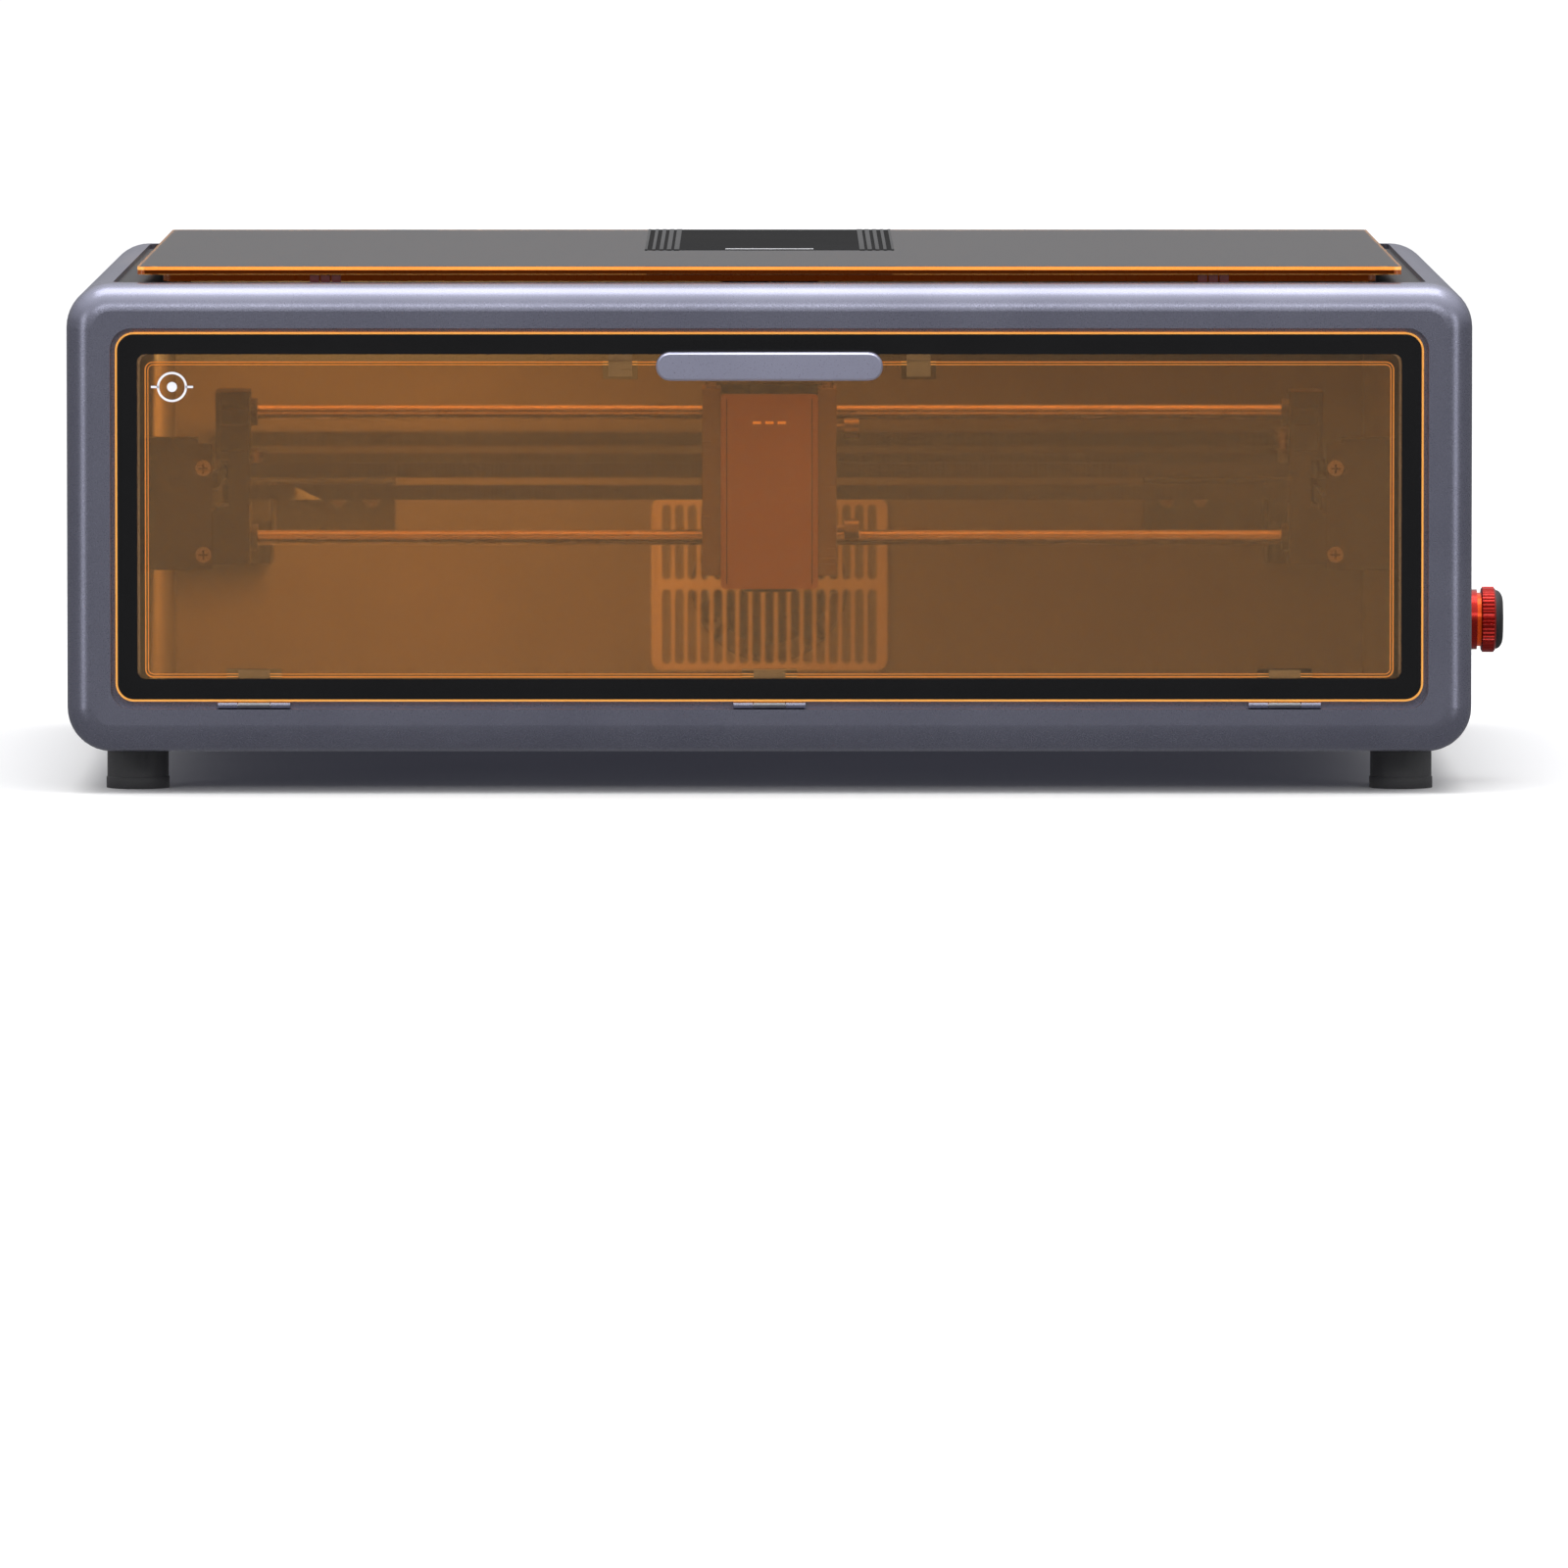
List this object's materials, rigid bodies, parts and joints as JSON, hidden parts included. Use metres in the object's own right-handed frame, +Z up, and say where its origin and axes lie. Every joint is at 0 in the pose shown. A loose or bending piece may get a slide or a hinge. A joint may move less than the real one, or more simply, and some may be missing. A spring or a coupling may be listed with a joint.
{
  "type": "laser engraver",
  "caption": "Enclosed desktop laser engraver: rounded metal case, tinted drop-down front door, tinted rear-hinged lid, belt-driven gantry with laser head, and side knob.",
  "frame": {"origin": "centre of the casing's footprint, in the plane that the feet stand on", "axes": "+X to the operator's right, +Y to the rear, +Z up"},
  "size_m": [0.5754, 0.48, 0.21],
  "materials": {
    "housing": "bead-blasted anodised",
    "inner_sheet_metal": "fine texture powder coat",
    "black_plastic": "moulded",
    "rotor_plastic": "moulded",
    "switch_plastic": "moulded gloss",
    "foot_rubber": "moulded rubber",
    "belt_rubber": "toothed belt",
    "polished_steel": "ground and polished",
    "steel": "plated",
    "motor_casing": "black laminated",
    "circuit_board": "solder mask",
    "orange_acrylic": "polished tinted acrylic",
    "head_aluminium": "anodised",
    "head_black": "black anodised",
    "red_aluminium": "red anodised",
    "idler_aluminium": "turned"
  },
  "bodies": {
    "chassis": {"housing_sleeve": "housing", "front_bezel": "housing", "rear_panel": "housing", "rear_wall": "inner_sheet_metal", "exhaust_grille": "black_plastic", "side_liners": "inner_sheet_metal", "floor_pan": "inner_sheet_metal", "lid_frame": "inner_sheet_metal", "feet": "foot_rubber", "guide_rails": "polished_steel", "front_brackets": "inner_sheet_metal", "motor_brackets": "inner_sheet_metal", "fasteners": "steel", "stepper_motors": "motor_casing", "exhaust_fan_frame": "black_plastic", "exhaust_collar": "black_plastic", "rear_sockets": "black_plastic", "control_board": "circuit_board", "door_catches": "steel", "hinge_leaves": "steel", "hinge_pins": "polished_steel", "lid_bumpers": "black_plastic", "side_belts": "belt_rubber", "front_belt_runs": "belt_rubber", "rear_belt_runs": "belt_rubber", "knob_bush": "red_aluminium"},
    "exhaust_fan": {"exhaust_fan_rotor": "rotor_plastic"},
    "rocker": {"power_rocker": "switch_plastic"},
    "knob": {"side_knob": "red_aluminium"},
    "door": {"door_outer_sheet": "orange_acrylic", "door_inner_sheet": "orange_acrylic", "door_handle": "housing", "door_magnets": "steel", "door_hinge_knuckles": "steel"},
    "lid": {"lid_outer_sheet": "orange_acrylic", "lid_inner_sheet": "orange_acrylic", "lid_centre_plate": "black_plastic", "lid_camera": "black_plastic", "lid_hinge_knuckles": "steel"},
    "gantry": {"end_blocks": "black_plastic", "gantry_rods": "polished_steel", "gantry_belts": "belt_rubber", "gantry_pins": "polished_steel"},
    "carriage": {"carriage_body": "head_aluminium"},
    "laser_module": {"module_body": "head_black", "module_cover": "head_aluminium", "module_columns": "head_aluminium"},
    "module_fan": {"module_fan_rotor": "rotor_plastic"},
    "thumb_upper": {"thumb_screw_upper": "head_aluminium"},
    "thumb_lower": {"thumb_screw_lower": "head_aluminium"},
    "gantry_idler_left_upper": {"gantry_idler_left_upper": "idler_aluminium"},
    "gantry_idler_left_lower": {"gantry_idler_left_lower": "idler_aluminium"},
    "gantry_idler_right_upper": {"gantry_idler_right_upper": "idler_aluminium"},
    "gantry_idler_right_lower": {"gantry_idler_right_lower": "idler_aluminium"},
    "front_idler_left": {"front_idler_left": "idler_aluminium"},
    "front_idler_right": {"front_idler_right": "idler_aluminium"},
    "rear_idler_left": {"rear_idler_left": "idler_aluminium"},
    "rear_idler_right": {"rear_idler_right": "idler_aluminium"},
    "motor_pulley_left": {"motor_pulley_left": "idler_aluminium"},
    "motor_pulley_right": {"motor_pulley_right": "idler_aluminium"}
  },
  "joints": [
    {"name": "front_door", "type": "hinge", "parent": "chassis", "child": "door", "pos_m": [0, -0.2302, 0.03535], "axis": [1, 0, 0], "range_deg": [0, 90]},
    {"name": "top_lid", "type": "hinge", "parent": "chassis", "child": "lid", "pos_m": [0, 0.2085, 0.2045], "axis": [-1, 0, 0], "range_deg": [0, 80]},
    {"name": "gantry_slide", "type": "slide", "parent": "chassis", "child": "gantry", "axis": [0, 1, 0], "range_m": [-0.06, 0.233], "deforming": ["front_belt_runs", "rear_belt_runs"]},
    {"name": "carriage_slide", "type": "slide", "parent": "gantry", "child": "carriage", "axis": [1, 0, 0], "range_m": [-0.178, 0.17]},
    {"name": "focus_slide", "type": "slide", "parent": "carriage", "child": "laser_module", "axis": [0, 0, 1], "range_m": [-0.025, 0.012]},
    {"name": "module_fan_spin", "type": "hinge", "parent": "laser_module", "child": "module_fan", "pos_m": [0, -0.1123, 0.145], "axis": [0, 0, 1], "continuous": true},
    {"name": "thumb_turn_upper", "type": "hinge", "parent": "laser_module", "child": "thumb_upper", "pos_m": [0.03, -0.1083, 0.1405], "axis": [1, 0, 0], "range_deg": [0, 360]},
    {"name": "thumb_turn_lower", "type": "hinge", "parent": "laser_module", "child": "thumb_lower", "pos_m": [0.03, -0.1083, 0.0995], "axis": [1, 0, 0], "range_deg": [0, 360]},
    {"name": "knob_turn", "type": "hinge", "parent": "chassis", "child": "knob", "pos_m": [0.28, -0.15, 0.0651], "axis": [1, 0, 0], "continuous": true},
    {"name": "exhaust_fan_spin", "type": "hinge", "parent": "chassis", "child": "exhaust_fan", "pos_m": [0, 0.217, 0.05985], "axis": [0, 1, 0], "continuous": true},
    {"name": "power_switch", "type": "hinge", "parent": "chassis", "child": "rocker", "pos_m": [0.231, 0.222, 0.0565], "axis": [0, 0, 1], "range_deg": [-16, 0]},
    {"name": "gantry_idler_left_upper_spin", "type": "hinge", "parent": "gantry", "child": "gantry_idler_left_upper", "pos_m": [-0.217, -0.085, 0.1165], "axis": [0, 0, 1], "continuous": true},
    {"name": "gantry_idler_left_lower_spin", "type": "hinge", "parent": "gantry", "child": "gantry_idler_left_lower", "pos_m": [-0.217, -0.075, 0.1165], "axis": [0, 0, 1], "continuous": true},
    {"name": "gantry_idler_right_upper_spin", "type": "hinge", "parent": "gantry", "child": "gantry_idler_right_upper", "pos_m": [0.217, -0.075, 0.1165], "axis": [0, 0, 1], "continuous": true},
    {"name": "gantry_idler_right_lower_spin", "type": "hinge", "parent": "gantry", "child": "gantry_idler_right_lower", "pos_m": [0.217, -0.085, 0.1165], "axis": [0, 0, 1], "continuous": true},
    {"name": "front_idler_left_spin", "type": "hinge", "parent": "chassis", "child": "front_idler_left", "pos_m": [-0.227, -0.163, 0.1165], "axis": [0, 0, 1], "continuous": true},
    {"name": "front_idler_right_spin", "type": "hinge", "parent": "chassis", "child": "front_idler_right", "pos_m": [0.227, -0.163, 0.1165], "axis": [0, 0, 1], "continuous": true},
    {"name": "rear_idler_left_spin", "type": "hinge", "parent": "chassis", "child": "rear_idler_left", "pos_m": [-0.217, 0.19, 0.1165], "axis": [0, 0, 1], "continuous": true},
    {"name": "rear_idler_right_spin", "type": "hinge", "parent": "chassis", "child": "rear_idler_right", "pos_m": [0.217, 0.19, 0.1165], "axis": [0, 0, 1], "continuous": true},
    {"name": "motor_pulley_left_spin", "type": "hinge", "parent": "chassis", "child": "motor_pulley_left", "pos_m": [-0.227, 0.19, 0.1165], "axis": [0, 0, 1], "continuous": true},
    {"name": "motor_pulley_right_spin", "type": "hinge", "parent": "chassis", "child": "motor_pulley_right", "pos_m": [0.227, 0.19, 0.1165], "axis": [0, 0, 1], "continuous": true}
  ],
  "couplings": [
    {"joint": "gantry_idler_left_upper_spin", "follows": "carriage_slide", "rad_per_m": -200},
    {"joint": "gantry_idler_left_lower_spin", "follows": "carriage_slide", "rad_per_m": 200},
    {"joint": "gantry_idler_right_upper_spin", "follows": "carriage_slide", "rad_per_m": 200},
    {"joint": "gantry_idler_right_lower_spin", "follows": "carriage_slide", "rad_per_m": -200},
    {"joint": "front_idler_left_spin", "follows": "gantry_slide", "rad_per_m": 200},
    {"joint": "front_idler_right_spin", "follows": "gantry_slide", "rad_per_m": -200},
    {"joint": "rear_idler_left_spin", "follows": "gantry_slide", "rad_per_m": -200},
    {"joint": "rear_idler_right_spin", "follows": "gantry_slide", "rad_per_m": 200},
    {"joint": "motor_pulley_left_spin", "follows": "gantry_slide", "rad_per_m": 200},
    {"joint": "motor_pulley_right_spin", "follows": "gantry_slide", "rad_per_m": -200}
  ]
}
